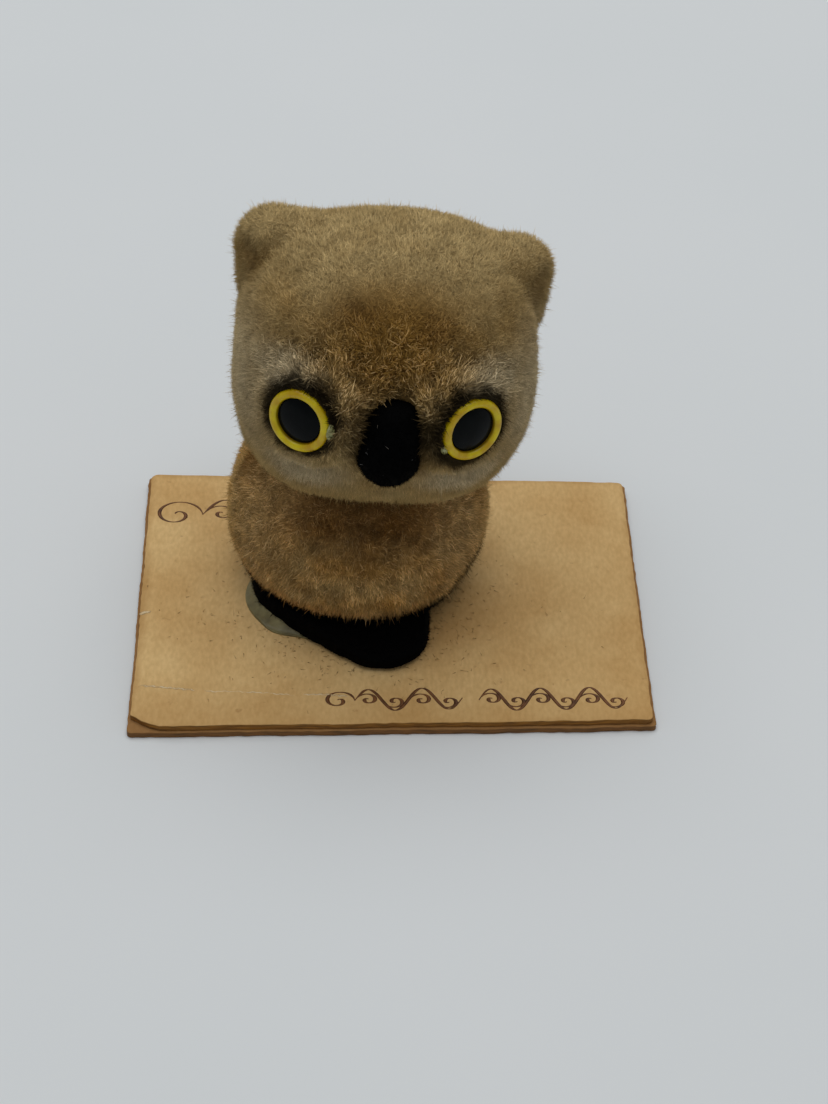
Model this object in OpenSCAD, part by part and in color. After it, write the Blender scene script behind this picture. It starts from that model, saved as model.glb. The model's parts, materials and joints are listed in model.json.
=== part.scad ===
// Flocked owl miniature, cemented to its two-ply display card.
// Origin: centre of the card's underside. +Z up; the owl faces -Y. Left and right are a viewer's
// left (-X) and right (+X), looking at the owl's face.

/* [Display card] */
// Width of the card, left to right
card_w = 50.8; // [48:0.1:56]
// Depth of the card along its left edge
card_left_d = 39.3; // [39:0.1:42]
// Depth of the card along its right edge, cut a little out of square
card_right_d = 37.2; // [37:0.1:42]
// Thickness of the lower, backing ply
backing_t = 0.65; // [0.5:0.05:0.8]
// Thickness of the upper, printed ply
face_t = 0.65; // [0.5:0.05:0.8]
// How far the printed ply stops short of the backing
face_inset = 0.3; // [0.1:0.05:0.5]
// Radius of the card's worn corners
corner_r = 0.7; // [0.3:0.1:1.5]
// Missing front left corner of the printed ply, along X
clip_x = 2.8; // [1:0.1:4]
// Missing front left corner of the printed ply, along Y
clip_y = 1.6; // [1:0.1:3]

/* [Foot and cement] */
// Thickness of the cement film between card and foot
cement_t = 0.2; // [0.1:0.05:0.3]
// Height of the cement bead that stands up beside the foot
bead_h = 1.3; // [0.8:0.1:1.5]
// Radius of the cement bead
bead_r = 7.1; // [6.9:0.1:7.3]
// Height of the foot's toe
toe_h = 1.6; // [1.4:0.1:1.8]
// Height of the foot where it meets the body
heel_h = 2.7; // [2.6:0.1:3]

/* [Body] */
// Radius of the body at its widest, over the flock
body_r = 12.85; // [12.5:0.05:13]
// Height of the widest ring above the body's base
body_wide_z = 3.8; // [3.4:0.1:4.2]
// Height of the body's base above the surface it stands on
body_base_z = 4.1; // [4:0.05:4.2]
// Lean of the body towards +X, in degrees
body_lean = 4.9; // [4:0.1:6]
// Thickness of the plug that closes the body
plug_t = 1; // [0.9:0.05:1.1]

/* [Head] */
// Half of the head's width, over the flock
head_half_w = 14.4; // [14:0.05:14.6]
// Radius of the head across its width, over the flock
head_r = 14.1; // [13.9:0.05:14.2]
// Height of the head's centre above the surface it stands on
head_z = 27.9; // [27.8:0.05:28.2]
// Tilt of the head towards +X, in degrees
head_tilt = 3.1; // [2:0.1:4]

/* [Eyes and nose] */
// Radius of an eye
eye_r = 3.12; // [3:0.02:3.2]
// Radius of a pupil
pupil_r = 2.26; // [2.2:0.02:2.5]
// How far an eye turns outwards, in degrees
eye_splay = 30; // [27:1:32]
// Radius of the nose at its tip, over the flock
nose_r = 3.2; // [3:0.05:3.3]

/* [Shells and flock] */
// Wall of the moulded shells
wall = 1.3; // [1.2:0.05:1.4]
// Length of the tan flock
flock_t = 0.7; // [0.6:0.05:0.8]
// Length of the black flock
black_flock_t = 0.4; // [0.3:0.05:0.45]
// Radius of the dowel that joins head and body
dowel_r = 2.6; // [2.3:0.1:2.8]

/* [Hidden] */

LEFT = -1;
RIGHT = 1;
FRONT = 180;
REAR = 0;
$fn = 72;
eps = 0.01;

card_t = backing_t + face_t;
sole_z = card_t + cement_t;
body_at = [-3.75, 4.6, body_base_z];
head_at = [-0.91, 4.16, head_z];
bead_at = [-7.7, -1];

// Foot: centre x, centre y, radius over the flock and height of each round lobe
toe = [-1, -6.9, 4.85, toe_h];
flank = [-7.6, 0.3, 6.4, heel_h];
heel = [-2, 5, 6, heel_h];
foot_lobes = [toe, flank, heel];
foot_edge_r = 0.5;

// Body outline: a lower quarter ellipse and an upper quarter superellipse
body_low_h = 8.7;
body_high_h = 12.4;
body_power = 2.3;
plug_rim_r = 10.9;
spigot_h = 1.2;

head_power = 2.8;
outline_steps = 28;

eye_back = 1.2;
eye_proud = 0.95;
eye_floor = 0.1;
shank_r = 0.8;
shank_l = 2.2;
eye_rise = 6;
eye_x = [-7.9, 7.65];
eye_round = 7.6;

// ---- Outlines -------------------------------------------------------------------------

function corner_arc(c, a, r) = [for (i = [0 : 4]) c + r * [cos(a + i * 22.5), sin(a + i * 22.5)]];

// The card's outline, anticlockwise from the front left corner, which may be cut off
function card_outline(inset, r, cut) =
    let (x = card_w / 2 - inset - r,
         yl = card_left_d / 2 - inset - r,
         yr = card_right_d / 2 - inset - r)
    concat(
        cut ? [[-x - r, -yl - r + clip_y], [-x - r + clip_x, -yl - r]] : corner_arc([-x, -yl], 180, r),
        corner_arc([x, -yr], 270, r),
        corner_arc([x, yr], 0, r),
        corner_arc([-x, yl], 90, r));

// Radius of the body at height z above its base, over the flock
function body_radius(z) =
    z < body_wide_z
    ? body_r * sqrt(1 - pow((body_wide_z - z) / body_low_h, 2))
    : body_r * pow(max(0, 1 - pow((z - body_wide_z) / body_high_h, body_power)), 1 / body_power);

// Half outline of the body, grown by g, with a straight skirt of length drop below its base
function body_outline(g, drop) =
    let (top = body_wide_z + body_high_h, r0 = body_radius(0) + g)
    concat(
        [[0, -drop], [r0, -drop]],
        [for (i = [0 : outline_steps - 1])
            let (z = top * sin(90 * i / outline_steps)) [max(body_radius(z) + g, 0.2), z]],
        [[0, top + g]]);

// Half outline of the head, grown by g: a superellipse about the axis that runs ear to ear
function head_outline(g) =
    let (e = 2 / head_power, a = head_half_w + g, b = head_r + g)
    concat(
        [[0, -a]],
        [for (i = [1 : outline_steps - 1])
            let (t = 180 * i / outline_steps)
            [b * pow(sin(t), e), -a * sign(cos(t)) * pow(abs(cos(t)), e)]],
        [[0, a]]);

// ---- Frames and forms that the sub-parts share -----------------------------------------

module place_body() {
    translate(body_at) rotate([0, body_lean, 0]) children();
}

module place_head() {
    translate(head_at) rotate([0, head_tilt, 0]) children();
}

// Turns an outline about the axis that runs ear to ear, all round or one half
module turn_about_x(angle = 360, side = REAR) {
    rotate([0, 90, 0]) rotate([0, 0, side]) rotate_extrude(angle = angle) children();
}

module head_form(g) {
    place_head() turn_about_x() polygon(head_outline(g));
}

// The foot: round lobes joined, with rounded edges, standing on the cement
module foot_form(g) {
    hull() {
        for (lobe = foot_lobes) {
            translate([lobe[0], lobe[1], sole_z])
                cylinder(r = lobe[2] + g - foot_edge_r / 2, h = eps, $fn = 32);
            translate([lobe[0], lobe[1], sole_z + foot_edge_r])
                cylinder(r = lobe[2] + g, h = lobe[3] + g - 2 * foot_edge_r, $fn = 32);
            translate([lobe[0], lobe[1], sole_z + lobe[3] + g - eps])
                cylinder(r = lobe[2] + g - foot_edge_r, h = eps, $fn = 32);
        }
    }
}

// The plug's rim, grown by g at its edge and below
module plug_form(g) {
    place_body() translate([0, 0, -plug_t - g]) cylinder(r = plug_rim_r + g, h = plug_t + g);
}

// The column over the plug's underside, which the foot stays out of
module plug_column() {
    place_body() translate([0, 0, -plug_t]) cylinder(r = plug_rim_r, h = 3 * plug_t);
}

// An ear lobe with a broad root, cupped on its outer front side
module ear_form(side, g) {
    ear_at = side == LEFT ? [-11.1, 3.7, 9.8] : [11.9, 2.7, 8.6];
    low_at = side == LEFT ? [-11.7, 3.2, 6.4] : [12.3, 2.4, 4.8];
    root_at = side == LEFT ? [-8, 3.7, 9.3] : [9, 2.8, 8.3];
    place_head() difference() {
        hull() {
            translate(ear_at) sphere(r = 3.2 + g, $fn = 28);
            translate(low_at) sphere(r = 2.3 + g, $fn = 24);
            translate(root_at) sphere(r = 3.3 + g, $fn = 24);
        }
        translate(ear_at + [side * 4.4, -3.3, 0.6]) sphere(r = 3.2 - g, $fn = 32);
    }
}

// The seat of an eye on the head: its own +Z points out along the eye
module place_eye(side) {
    x = eye_x[side == LEFT ? 0 : 1];
    r = head_r * pow(1 - pow(abs(x) / head_half_w, head_power), 1 / head_power);
    place_head()
        translate([x, -r * cos(eye_round), r * sin(eye_round)])
            rotate([0, 0, side * eye_splay]) rotate([90 - eye_rise, 0, 0]) children();
}

module eye_seat(side) {
    place_eye(side) union() {
        translate([0, 0, -eye_back]) cylinder(r = eye_r, h = 6);
        translate([0, 0, -eye_back - shank_l]) cylinder(r = shank_r, h = shank_l + eps);
    }
}

// The nose over its flock, grown by g: a smaller and a larger ball run together
module nose_form(g) {
    place_head() hull() {
        translate([0.35, -13.9, -1.2]) sphere(r = nose_r + g, $fn = 32);
        translate([0.8, -13.3, 1.9]) sphere(r = nose_r - 0.3 + g, $fn = 32);
    }
}

module nose_peg() {
    place_head() translate([0.35, 0, -1.2]) rotate([90, 0, 0])
        translate([0, 0, head_r - flock_t - wall]) cylinder(r = shank_r, h = wall + 1.5);
}

module dowel_form() {
    place_body() translate([0, 0, 5.5]) cylinder(r = dowel_r, h = 9.5);
}

// ---- Sub-parts ---------------------------------------------------------------------------

module card_backing() {
    color("#8a6238") linear_extrude(height = backing_t) polygon(card_outline(0, corner_r / 2, false));
}

module card_face() {
    color("#c39c62") translate([0, 0, backing_t])
        linear_extrude(height = face_t) polygon(card_outline(face_inset, corner_r, true));
}

module card_cement() {
    color("#a9aa98") difference() {
        union() {
            translate([bead_at[0], bead_at[1], card_t]) cylinder(r1 = bead_r, r2 = bead_r - 0.6, h = bead_h);
            for (lobe = foot_lobes) {
                translate([lobe[0], lobe[1], card_t]) cylinder(r = lobe[2] - 1, h = cement_t);
            }
        }
        foot_form(0);
    }
}

module foot() {
    color("#17140f") difference() {
        foot_form(-black_flock_t);
        plug_column();
    }
}

module base_plug() {
    color("#1d1916") difference() {
        union() {
            plug_form(0);
            place_body() translate([0, 0, -eps]) cylinder(r = body_radius(0) - flock_t - wall, h = spigot_h);
        }
        place_body() translate([0, 0, -plug_t - 1]) cylinder(r = 1.5, h = plug_t + spigot_h + 2);
    }
}

module black_flock() {
    color("#0b0a0a") difference() {
        union() {
            foot_form(0);
            plug_form(black_flock_t);
        }
        foot_form(-black_flock_t);
        plug_column();
        place_body() cylinder(r = body_r, h = heel_h);
    }
}

module body_shell(side) {
    difference() {
        place_body() rotate([0, 0, side]) rotate_extrude(angle = 180) polygon(body_outline(-flock_t, 0));
        head_form(0);
        difference() {
            place_body() rotate_extrude() polygon(body_outline(-flock_t - wall, 1));
            head_form(wall);
        }
        dowel_form();
    }
}

module body_shell_front() {
    color("#cfc7b4") body_shell(FRONT);
}

module body_shell_rear() {
    color("#cfc7b4") body_shell(REAR);
}

module body_flock() {
    color("#a98a5f") difference() {
        place_body() rotate_extrude() polygon(body_outline(0, 0));
        place_body() rotate_extrude() polygon(body_outline(-flock_t, 1));
        head_form(0);
    }
}

module neck_dowel() {
    color("#c8a878") dowel_form();
}

module head_shell(side) {
    difference() {
        place_head() turn_about_x(180, side) difference() {
            polygon(head_outline(-flock_t));
            polygon(head_outline(-flock_t - wall));
        }
        dowel_form();
        eye_seat(LEFT);
        eye_seat(RIGHT);
        nose_peg();
    }
}

module head_shell_front() {
    color("#cfc7b4") head_shell(FRONT);
}

module head_shell_rear() {
    color("#cfc7b4") head_shell(REAR);
}

module ear(side) {
    color("#cfc7b4") difference() {
        ear_form(side, 0);
        head_form(-flock_t);
    }
}

module ear_left() {
    ear(LEFT);
}

module ear_right() {
    ear(RIGHT);
}

module head_flock() {
    color("#b29467") difference() {
        union() {
            head_form(0);
            ear_form(LEFT, flock_t);
            ear_form(RIGHT, flock_t);
        }
        head_form(-flock_t);
        ear_form(LEFT, 0);
        ear_form(RIGHT, 0);
        eye_seat(LEFT);
        eye_seat(RIGHT);
        nose_form(0);
        dowel_form();
    }
}

// A button eye: round-edged rim, a recess for the pupil and a shank behind
module eye_ring(side) {
    rim = eye_r - pupil_r;
    arc_r = rim / 2;
    color("#e8d400") place_eye(side) rotate_extrude()
        polygon(concat(
            [[0, -eye_back - shank_l], [shank_r, -eye_back - shank_l],
             [shank_r, -eye_back], [eye_r, -eye_back]],
            [for (i = [0 : 8]) [pupil_r + arc_r + arc_r * cos(22.5 * i),
                                eye_proud - arc_r + arc_r * sin(22.5 * i)]],
            [[pupil_r, eye_floor], [0, eye_floor]]));
}

module eye_ring_left() {
    eye_ring(LEFT);
}

module eye_ring_right() {
    eye_ring(RIGHT);
}

// A pupil: a shallow dome that drops into the eye's recess
module pupil(side) {
    edge_z = 0.5;
    rise = 0.4;
    dome_r = (pupil_r * pupil_r + rise * rise) / (2 * rise);
    color("#14171a") place_eye(side) rotate_extrude()
        polygon(concat(
            [[0, eye_floor], [pupil_r, eye_floor]],
            [for (i = [0 : 10])
                let (r = pupil_r * (1 - i / 10))
                [r, edge_z + rise - dome_r + sqrt(dome_r * dome_r - r * r)]]));
}

module pupil_left() {
    pupil(LEFT);
}

module pupil_right() {
    pupil(RIGHT);
}

module nose() {
    color("#121010") difference() {
        union() {
            nose_form(-black_flock_t);
            nose_peg();
        }
        difference() {
            head_form(-flock_t);
            nose_peg();
        }
    }
}

module nose_flock() {
    color("#0b0a0a") difference() {
        nose_form(0);
        nose_form(-black_flock_t);
        head_form(-flock_t);
    }
}

// A bead of cement squeezed out at the rim of an eye, on the side next to the nose
module eye_cement(side) {
    r = 0.5;
    color("#d9cf8a") difference() {
        place_eye(side) rotate([0, 0, side == LEFT ? -20 : 205])
            translate([eye_r + 0.15, 0, 0.2]) sphere(r = r, $fn = 24);
        eye_seat(side);
        head_form(0);
    }
}

module eye_cement_left() {
    eye_cement(LEFT);
}

module eye_cement_right() {
    eye_cement(RIGHT);
}

card_backing();
card_face();
card_cement();
foot();
base_plug();
black_flock();
body_shell_front();
body_shell_rear();
body_flock();
neck_dowel();
head_shell_front();
head_shell_rear();
ear_left();
ear_right();
head_flock();
eye_ring_left();
eye_ring_right();
pupil_left();
pupil_right();
nose();
nose_flock();
eye_cement_left();
eye_cement_right();
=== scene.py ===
# %% [markdown]
# # A flocked owl on its display card
# The owl is a hollow moulding with a coat of nylon flock, sprayed with tan, brown and black, and
# cemented by its foot to a small two-ply card. The part's own model already holds every solid at
# its real size, so this lesson only makes what the eye meets: the pile, the paints, the gloss of
# the eyes, the dried cement and the aged card. All shapes are worked out as whole numpy arrays in
# millimetres and turned to metres at the last moment.

# %% Load the frame
import json
import math
import bpy
import numpy as np
from mathutils import Matrix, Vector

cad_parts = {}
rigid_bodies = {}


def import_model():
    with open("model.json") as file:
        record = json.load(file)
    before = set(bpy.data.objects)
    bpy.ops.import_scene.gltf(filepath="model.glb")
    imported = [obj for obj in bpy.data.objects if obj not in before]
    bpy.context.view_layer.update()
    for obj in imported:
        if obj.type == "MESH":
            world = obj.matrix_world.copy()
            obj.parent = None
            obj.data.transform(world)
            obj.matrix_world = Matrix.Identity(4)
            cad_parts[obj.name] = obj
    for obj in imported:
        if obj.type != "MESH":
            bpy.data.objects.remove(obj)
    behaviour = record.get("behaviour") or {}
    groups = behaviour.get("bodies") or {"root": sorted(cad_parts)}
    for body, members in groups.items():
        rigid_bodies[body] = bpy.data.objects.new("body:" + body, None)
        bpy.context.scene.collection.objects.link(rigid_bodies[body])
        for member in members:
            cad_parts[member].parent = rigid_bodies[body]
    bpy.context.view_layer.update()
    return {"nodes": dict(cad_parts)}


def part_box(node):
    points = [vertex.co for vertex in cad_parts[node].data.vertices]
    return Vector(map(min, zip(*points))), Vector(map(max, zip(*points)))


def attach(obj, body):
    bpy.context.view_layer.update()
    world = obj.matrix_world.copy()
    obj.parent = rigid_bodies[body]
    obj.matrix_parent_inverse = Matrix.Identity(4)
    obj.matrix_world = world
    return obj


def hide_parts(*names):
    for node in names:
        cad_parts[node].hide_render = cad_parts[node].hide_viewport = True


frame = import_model()

# %% [markdown]
# Three small tools carry the arithmetic. Colours are written as sRGB hex, as a paint chart gives
# them, and Blender's shaders want linear light. Rows of vectors are scaled to length one. A value
# noise gives each point of space a smooth random height, which is how pile, paper and paint get
# their unevenness without a picture file.

# %% Colour, vector and noise tools
MM = 0.001
LEFT, RIGHT = -1, 1


def linear(code):
    """sRGB hex to linear red, green, blue: each channel c becomes ((c + 0.055) / 1.055) ** 2.4."""
    srgb = np.array([int(code[i:i + 2], 16) for i in (1, 3, 5)]) / 255
    return np.where(srgb <= 0.04045, srgb / 12.92, ((srgb + 0.055) / 1.055) ** 2.4)


def unit(rows):
    """Every row divided by its own length."""
    return rows / np.maximum(np.linalg.norm(rows, axis=-1, keepdims=True), 1e-12)


def step(x, low, high):
    """0 below low, 1 above high, and the smooth curve 3t^2 - 2t^3 between them."""
    t = np.clip((x - low) / (high - low), 0, 1)
    return t * t * (3 - 2 * t)


def noise(points, size, seed):
    """Value noise from -1 to 1: random heights on a cubic lattice of the given spacing in mm,
    blended between the eight corners of each cell with the smooth curve 3t^2 - 2t^3."""
    lattice = np.random.default_rng(seed).uniform(-1, 1, (32, 32, 32))
    cell = np.floor(points / size).astype(int)
    t = points / size - cell
    t = t * t * (3 - 2 * t)
    total = 0
    for corner in np.ndindex(2, 2, 2):
        share = np.prod(np.where(corner, t, 1 - t), axis=-1)
        at = (cell + corner) % 32
        total = total + share * lattice[at[..., 0], at[..., 1], at[..., 2]]
    return total


def mix(a, b, share):
    """Colour a going to colour b as share goes from 0 to 1, for every point."""
    share = np.clip(share, 0, 1)[..., None]
    return a * (1 - share) + b * share


# %% [markdown]
# One function turns arrays into a piece. A closed surface has its faces pointing outwards when the
# signed volume under its triangles, the sum of a . (b x c) / 6, is positive, so the function
# measures that and turns the faces round when it isn't. A grid that runs round an axis closes
# with one vertex at each pole, which leaves no pinholes.

# %% Mesh tools
def make_piece(name, points, faces, material, tone=None, replaces=(), smooth=True,
               lit_as=None):
    """A closed mesh from points in mm and a list of face arrays, riding on the part's only body.
    lit_as gives every point a normal of its own to be lit by."""
    triangles = np.concatenate([np.stack([f[:, 0], f[:, i], f[:, i + 1]], 1)
                                for f in faces for i in range(1, f.shape[1] - 1)])
    a, b, c = (points[triangles[:, i]] for i in range(3))
    if np.einsum("ij,ij->", a, np.cross(b, c)) < 0:
        faces = [f[:, ::-1] for f in faces]
    mesh = bpy.data.meshes.new(name)
    mesh.vertices.add(len(points))
    mesh.vertices.foreach_set("co", (points * MM).astype(np.float32).ravel())
    sizes = np.concatenate([np.full(len(f), f.shape[1]) for f in faces])
    mesh.loops.add(int(sizes.sum()))
    mesh.loops.foreach_set("vertex_index", np.concatenate([f.ravel() for f in faces]).astype(np.int32))
    mesh.polygons.add(len(sizes))
    mesh.polygons.foreach_set("loop_start", np.concatenate([[0], np.cumsum(sizes)[:-1]]).astype(np.int32))
    mesh.update(calc_edges=True)
    mesh.validate()
    mesh.polygons.foreach_set("use_smooth", np.full(len(mesh.polygons), smooth))
    if tone is not None:
        colours = np.ones((len(points), 4), np.float32)
        colours[:, :3] = tone
        mesh.attributes.new("tone", "FLOAT_COLOR", "POINT").data.foreach_set("color", colours.ravel())
    if lit_as is not None:
        mesh.normals_split_custom_set_from_vertices(lit_as)
    mesh.materials.append(material)
    piece = bpy.data.objects.new(name, mesh)
    bpy.context.scene.collection.objects.link(piece)
    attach(piece, "root")
    if replaces:
        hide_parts(*replaces)
    print(f"{name}: {len(points)} points, {len(triangles)} triangles")
    return piece


def round_faces(rings, around):
    """Faces of rings of points that run round an axis, with a pole before and one after them."""
    ring, turn = np.meshgrid(np.arange(rings - 1), np.arange(around), indexing="ij")
    nxt = (turn + 1) % around
    quads = np.stack([ring * around + turn, ring * around + nxt,
                      (ring + 1) * around + nxt, (ring + 1) * around + turn], -1).reshape(-1, 4)
    turn = np.arange(around)
    nxt = (turn + 1) % around
    first, last = rings * around, rings * around + 1
    low = np.stack([np.full(around, first), nxt, turn], 1)
    high = np.stack([np.full(around, last), (rings - 1) * around + turn, (rings - 1) * around + nxt], 1)
    return [quads, np.concatenate([low, high])]


def closed(rings):
    """Points of a (rings, around, 3) grid, then one pole at the middle of each end ring."""
    return np.concatenate([rings.reshape(-1, 3), rings[0].mean(0)[None], rings[-1].mean(0)[None]])


def normals_of(rings):
    """Outward normals of a grid that runs round an axis: the cross product of its two tangents."""
    along = np.gradient(rings, axis=0)
    turn = np.roll(rings, -1, axis=1) - np.roll(rings, 1, axis=1)
    normal = unit(np.cross(turn, along))
    outward = np.sum(normal * (rings - rings.mean((0, 1))), -1).mean()
    return normal if outward > 0 else -normal


def lathe(profile, origin, axis, around=96):
    """A turned shape: each (radius, height) of the profile carried once round the axis."""
    axis = unit(np.array(axis, float))
    side = unit(np.cross(axis, [0.0, 0.0, 1.0] if abs(axis[2]) < 0.9 else [0.0, 1.0, 0.0]))
    other = np.cross(axis, side)
    turn = np.linspace(0, 2 * np.pi, around, endpoint=False)
    spokes = np.cos(turn)[:, None] * side + np.sin(turn)[:, None] * other
    profile = np.array(profile, float)
    return origin + profile[:, 0, None, None] * spokes + profile[:, 1, None, None] * axis


def arc(centre, radius, start, end, count=8):
    """Points on an arc of a profile, angles in degrees from the outward radius."""
    turn = np.radians(np.linspace(start, end, count))
    return [(centre[0] + radius * math.cos(t), centre[1] + radius * math.sin(t)) for t in turn]


def node_middle(*names):
    """The middle of the box round these nodes, in mm."""
    boxes = [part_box(name) for name in names]
    low = np.min([b[0] for b in boxes], axis=0)
    high = np.max([b[1] for b in boxes], axis=0)
    return (low + high) / 2 / MM


# %% [markdown]
# The camera stands 40 degrees above the table, a short arm's length away, with the narrow view of
# a phone's longer lens. A slight turn and roll come from holding it by hand. The object's own
# middle isn't the aim: the view leaves free floor in front of the card.

# %% Camera
CAMERA_RISE, CAMERA_TURN, CAMERA_ROLL = (math.radians(a) for a in (40.0, -2.25, 1.64))
CAMERA_DISTANCE = 264.7
CAMERA_LENS = 85.1
CAMERA_AIM = np.array([2.45, 3.32, 4.06])

back = np.array([math.sin(CAMERA_TURN) * math.cos(CAMERA_RISE),
                 -math.cos(CAMERA_TURN) * math.cos(CAMERA_RISE), math.sin(CAMERA_RISE)])
level = np.array([math.cos(CAMERA_TURN), math.sin(CAMERA_TURN), 0.0])
upright = np.cross(back, level)
right = level * math.cos(CAMERA_ROLL) + upright * math.sin(CAMERA_ROLL)
up = upright * math.cos(CAMERA_ROLL) - level * math.sin(CAMERA_ROLL)

camera_data = bpy.data.cameras.new("camera")
camera_data.lens = CAMERA_LENS
camera_data.sensor_width = 36
camera_data.clip_start = 0.01
camera = bpy.data.objects.new("camera", camera_data)
bpy.context.scene.collection.objects.link(camera)
placed = np.eye(4)
placed[:3, 0], placed[:3, 1], placed[:3, 2] = right, up, back
placed[:3, 3] = (CAMERA_AIM + CAMERA_DISTANCE * back) * MM
camera.matrix_world = Matrix(placed.tolist())
bpy.context.scene.camera = camera
print("camera at (mm):", np.round(placed[:3, 3] / MM, 1))

# %% [markdown]
# One function adds a shader node. A setting goes on the node, and an input is either a plain value
# or the socket it is linked from, so a whole material reads from top to bottom.

# %% Shader tools
def add(tree, kind, inputs=None, **settings):
    """Adds a shader node with its settings, input values and links, and returns it."""
    node = tree.nodes.new("ShaderNode" + kind)
    for key, value in settings.items():
        setattr(node, key, value)
    for key, value in (inputs or {}).items():
        if isinstance(value, bpy.types.NodeSocket):
            tree.links.new(value, node.inputs[key])
        else:
            node.inputs[key].default_value = value
    return node


def rgba(code):
    """A hex colour as the four linear numbers that a colour socket takes."""
    return (*linear(code), 1.0)


def new_material(name, **surface):
    """A material with its principled shader, whose constant values are set on its own sockets."""
    material = bpy.data.materials.new(name)
    material.use_nodes = True
    tree = material.node_tree
    shader = next(n for n in tree.nodes if n.type == "BSDF_PRINCIPLED")
    for key, value in surface.items():
        shader.inputs[key.replace("_", " ")].default_value = value
    return material, tree, shader


def per_mm(size):
    """The scale of a texture on Object coordinates, which are metres, for features this big in mm."""
    return 1 / (size * MM)


def grain(tree, size, detail=3.0, stretch=(1, 1, 1)):
    """Noise in object space, its features size mm across, stretched by the three factors."""
    place = add(tree, "TexCoord")
    scaled = add(tree, "Mapping", {"Vector": place.outputs["Object"], "Scale": stretch})
    return add(tree, "TexNoise", {"Vector": scaled.outputs[0], "Scale": per_mm(size), "Detail": detail})


def ramp(tree, value, *stops):
    """Colours along a value: each stop is (position, hex colour)."""
    node = add(tree, "ValToRGB", {"Fac": value})
    for i, (position, code) in enumerate(stops):
        element = node.color_ramp.elements[i] if i < 2 else node.color_ramp.elements.new(position)
        element.position = position
        element.color = rgba(code)
    return node.outputs["Color"]


def blend(tree, kind, share, a, b):
    """Two colours put together, by mixing or multiplying."""
    node = add(tree, "Mix", data_type="RGBA", blend_type=kind)
    for index, value in ((0, share), (6, a), (7, b)):
        if isinstance(value, bpy.types.NodeSocket):
            tree.links.new(value, node.inputs[index])
        else:
            node.inputs[index].default_value = value
    return node.outputs[2]


def bump(tree, shader, height, depth):
    """A fine unevenness of the given depth in mm on a shader's normal."""
    node = add(tree, "Bump", {"Height": height, "Distance": depth * MM, "Strength": 1.0})
    tree.links.new(node.outputs[0], shader.inputs["Normal"])


# %% [markdown]
# Nylon flock is cut from drawn thread, so each fibre is smooth, but a coat of them scatters light
# at every angle and looks matt with a soft sheen at its rim. The airbrush colours were sprayed
# over the finished pile. They are kept as a colour on each fibre, darkened at the root as painted
# shade of the pile and lighter at the tip. The black coat is dyed flock, unsprayed.

# %% Flock materials
def flock_material(name, sheen, tint):
    """Airbrushed or dyed nylon flock: the fibre's own colour under a soft sheen."""
    material, tree, shader = new_material(name, Roughness=0.85, IOR=1.53, Sheen_Weight=sheen,
                                          Sheen_Roughness=0.5, Sheen_Tint=rgba(tint))
    shader.inputs["Specular IOR Level"].default_value = 0.05
    tone = add(tree, "Attribute", attribute_name="tone")
    uneven = ramp(tree, grain(tree, 1.6).outputs["Fac"], (0.3, "#e6e3de"), (0.7, "#ffffff"))
    colour = blend(tree, "MULTIPLY", 1.0, tone.outputs["Color"], uneven)
    tree.links.new(colour, shader.inputs["Base Color"])
    return material


tan_flock = flock_material("nylon_flock_airbrushed", 0.4, "#c9a768")
black_flock = flock_material("nylon_flock_dyed_black", 0.0, "#555555")

# %% [markdown]
# The frames of the head and the body come from the part: the head's mouldings are even about the
# head's centre, and the plug fills the body's base. Both lean a little to the right. The radii
# below are the part's own outlines, measured over the pile.

# %% Frames of head and body
def turned(degrees):
    """The matrix of a turn about Y that carries Z towards X."""
    c, s = math.cos(math.radians(degrees)), math.sin(math.radians(degrees))
    return np.array([[c, 0, s], [0, 1, 0], [-s, 0, c]])


HEAD_AT, HEAD_TURN = node_middle("head_shell_front", "head_shell_rear"), turned(3.1)
BODY_AT, BODY_TURN = node_middle("base_plug"), turned(4.9)
HEAD_HALF, HEAD_R, HEAD_POWER = 14.4, 14.1, 2.8
BODY_R, BODY_WIDE, BODY_LOW, BODY_HIGH, BODY_POWER = 12.85, 3.8, 8.7, 12.4, 2.3
PILE = 0.38    # how far the pile stands over the coat's own surface


def to_head(points):
    """Places seen from the head's own frame: the centre taken away, then the turn undone."""
    return (points - HEAD_AT) @ HEAD_TURN


def from_head(points):
    """Places in the head's frame put back: turned, then moved to the head's centre."""
    return points @ HEAD_TURN.T + HEAD_AT


def from_body(points):
    """Places in the body's frame put back: turned, then moved to the body's base."""
    return points @ BODY_TURN.T + BODY_AT


def reach(rays, centre, radius):
    """Distance along rays from the origin to the far side of a ball, or 0 where a ray misses it:
    t = d.c + sqrt((d.c)^2 - c.c + r^2)."""
    along = rays @ centre
    room = along ** 2 - centre @ centre + radius ** 2
    return np.where(room > 0, along + np.sqrt(np.maximum(room, 0)), 0)


def chain(*balls):
    """Balls (centre..., radius) at even steps between every pair of the given balls."""
    balls = [np.array(b, float) for b in balls]
    pairs = [(a, b) for i, a in enumerate(balls) for b in balls[i + 1:]]
    return [a + (b - a) * t for a, b in pairs for t in np.linspace(0, 1, 7)]


def joined(a, b, soft):
    """The greater of two distances, rounded where they are within soft of each other:
    max(a, b) + h^2 * soft / 4 with h = max(soft - |a - b|, 0) / soft."""
    h = np.maximum(soft - np.abs(a - b), 0) / soft
    return np.maximum(a, b) + h * h * soft / 4


def all_round(rings, around):
    """Rays to every side: rings of directions from straight up to straight down."""
    fall = np.pi * (np.arange(rings) + 0.5) / rings
    turn = 2 * np.pi * np.arange(around) / around
    fall, turn = np.meshgrid(fall, turn, indexing="ij")
    return np.stack([np.sin(fall) * np.cos(turn), np.sin(fall) * np.sin(turn), np.cos(fall)], -1)


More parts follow.
